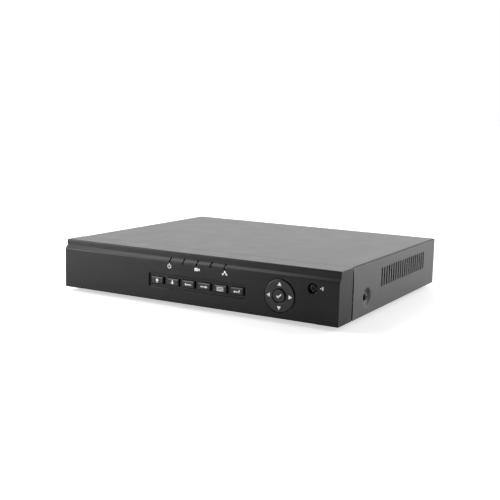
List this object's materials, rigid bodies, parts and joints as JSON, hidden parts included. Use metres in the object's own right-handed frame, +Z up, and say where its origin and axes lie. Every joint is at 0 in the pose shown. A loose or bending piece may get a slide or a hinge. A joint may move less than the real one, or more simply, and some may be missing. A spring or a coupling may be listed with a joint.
{
  "type": "dvr recorder",
  "caption": "Compact surveillance video recorder in a flat folded-steel case with a moulded front bezel, push keys, a four-way pad with OK button, vents, a fan and rear sockets.",
  "frame": {"origin": "middle of the object's footprint, on the surface under the feet", "axes": "+X to the right seen from the front, +Y from front to back (the bezel faces -Y), +Z up"},
  "size_m": [0.3, 0.2636, 0.052],
  "materials": {
    "steel_black": "fine matt powder coat",
    "bezel_plastic": "finely sparked moulding",
    "key_plastic": "satin",
    "pad_plastic": "satin",
    "inner_plastic": "matt",
    "foot_rubber": "matt",
    "screw_black": "black oxide",
    "screw_zinc": "zinc plated",
    "clear_plastic": "clear, polished",
    "ir_plastic": "polished, deep red-black",
    "switch_plastic": "matt",
    "circuit_board": "solder mask",
    "chip_black": "moulded",
    "ribbon_grey": "satin",
    "cable_red": "satin",
    "cable_black": "satin",
    "bare_aluminium": "extruded",
    "cast_aluminium": "die cast",
    "bright_steel": "tin plated",
    "nickel_plate": "bright nickel",
    "insulator_white": "satin",
    "contact_gold": "gold plated",
    "port_plastic": "satin",
    "fan_plastic": "matt",
    "white_print": "printed legends on the bezel, keys and pad"
  },
  "bodies": {
    "case": {"base_pan": "steel_black", "top_cover": "steel_black", "front_bezel": "bezel_plastic", "cover_screws": "screw_black", "rubber_feet": "foot_rubber", "nav_bracket": "inner_plastic", "key_guide": "inner_plastic", "light_guide": "clear_plastic", "indicator_leds": "clear_plastic", "ir_window": "ir_plastic", "ir_receiver": "switch_plastic", "key_board": "circuit_board", "tact_switches": "switch_plastic", "ribbon_cable": "ribbon_grey", "main_board": "circuit_board", "board_standoffs": "screw_zinc", "board_screws": "screw_zinc", "processor": "chip_black", "heatsink": "bare_aluminium", "coin_cell": "nickel_plate", "board_parts": "chip_black", "disk_case": "cast_aluminium", "disk_cover": "bright_steel", "disk_board": "circuit_board", "disk_screws": "screw_zinc", "disk_data_cable": "cable_red", "disk_power_cable": "cable_black", "fan_frame": "fan_plastic", "fan_screws": "screw_zinc", "video_sockets": "nickel_plate", "audio_sockets": "nickel_plate", "socket_insulators": "insulator_white", "socket_contacts": "contact_gold", "vga_socket": "bright_steel", "hdmi_port": "bright_steel", "lan_port": "bright_steel", "usb_ports": "bright_steel", "port_inserts": "port_plastic", "dc_jack": "port_plastic"},
    "key_up": {"key_up": "key_plastic", "plunger_up": "switch_plastic"},
    "key_down": {"key_down": "key_plastic", "plunger_down": "switch_plastic"},
    "key_left": {"key_left": "key_plastic", "plunger_left": "switch_plastic"},
    "key_right": {"key_right": "key_plastic", "plunger_right": "switch_plastic"},
    "key_menu": {"key_menu": "key_plastic", "plunger_menu": "switch_plastic"},
    "key_esc": {"key_esc": "key_plastic", "plunger_esc": "switch_plastic"},
    "ok": {"ok_button": "pad_plastic", "plunger_ok": "switch_plastic"},
    "pad_carrier": {"nav_gimbal": "inner_plastic"},
    "pad_ring": {"nav_ring": "pad_plastic"},
    "fan": {"fan_rotor": "fan_plastic"},
    "pad_switch_up": {"nav_plunger_up": "switch_plastic"},
    "pad_switch_down": {"nav_plunger_down": "switch_plastic"},
    "pad_switch_left": {"nav_plunger_left": "switch_plastic"},
    "pad_switch_right": {"nav_plunger_right": "switch_plastic"}
  },
  "joints": [
    {"name": "key_up_press", "type": "slide", "parent": "case", "child": "key_up", "axis": [0, 1, 0], "range_m": [0, 0.0005], "stiffness_N_per_m": 800, "springref_m": -0.0005},
    {"name": "key_down_press", "type": "slide", "parent": "case", "child": "key_down", "axis": [0, 1, 0], "range_m": [0, 0.0005], "stiffness_N_per_m": 800, "springref_m": -0.0005},
    {"name": "key_left_press", "type": "slide", "parent": "case", "child": "key_left", "axis": [0, 1, 0], "range_m": [0, 0.0005], "stiffness_N_per_m": 800, "springref_m": -0.0005},
    {"name": "key_right_press", "type": "slide", "parent": "case", "child": "key_right", "axis": [0, 1, 0], "range_m": [0, 0.0005], "stiffness_N_per_m": 800, "springref_m": -0.0005},
    {"name": "key_menu_press", "type": "slide", "parent": "case", "child": "key_menu", "axis": [0, 1, 0], "range_m": [0, 0.0005], "stiffness_N_per_m": 800, "springref_m": -0.0005},
    {"name": "key_esc_press", "type": "slide", "parent": "case", "child": "key_esc", "axis": [0, 1, 0], "range_m": [0, 0.0005], "stiffness_N_per_m": 800, "springref_m": -0.0005},
    {"name": "ok_press", "type": "slide", "parent": "case", "child": "ok", "axis": [0, 1, 0], "range_m": [0, 0.0005], "stiffness_N_per_m": 800, "springref_m": -0.0005},
    {"name": "pad_tilt_left_right", "type": "hinge", "parent": "case", "child": "pad_carrier", "pos_m": [0.0933, -0.12375, 0.0247], "axis": [0, 0, 1], "range_deg": [-1.5, 1.5], "stiffness_Nm_per_rad": 0.2},
    {"name": "pad_tilt_up_down", "type": "hinge", "parent": "pad_carrier", "child": "pad_ring", "pos_m": [0.0933, -0.12375, 0.0247], "axis": [1, 0, 0], "range_deg": [-1.5, 1.5], "stiffness_Nm_per_rad": 0.2},
    {"name": "pad_switch_up_press", "type": "slide", "parent": "case", "child": "pad_switch_up", "axis": [0, 1, 0], "range_m": [0, 0.00025], "stiffness_N_per_m": 800, "springref_m": -0.00025},
    {"name": "pad_switch_down_press", "type": "slide", "parent": "case", "child": "pad_switch_down", "axis": [0, 1, 0], "range_m": [0, 0.00025], "stiffness_N_per_m": 800, "springref_m": -0.00025},
    {"name": "pad_switch_left_press", "type": "slide", "parent": "case", "child": "pad_switch_left", "axis": [0, 1, 0], "range_m": [0, 0.00025], "stiffness_N_per_m": 800, "springref_m": -0.00025},
    {"name": "pad_switch_right_press", "type": "slide", "parent": "case", "child": "pad_switch_right", "axis": [0, 1, 0], "range_m": [0, 0.00025], "stiffness_N_per_m": 800, "springref_m": -0.00025},
    {"name": "fan_spin", "type": "hinge", "parent": "case", "child": "fan", "pos_m": [-0.095, 0.11315, 0.0263], "axis": [0, 1, 0], "continuous": true}
  ]
}
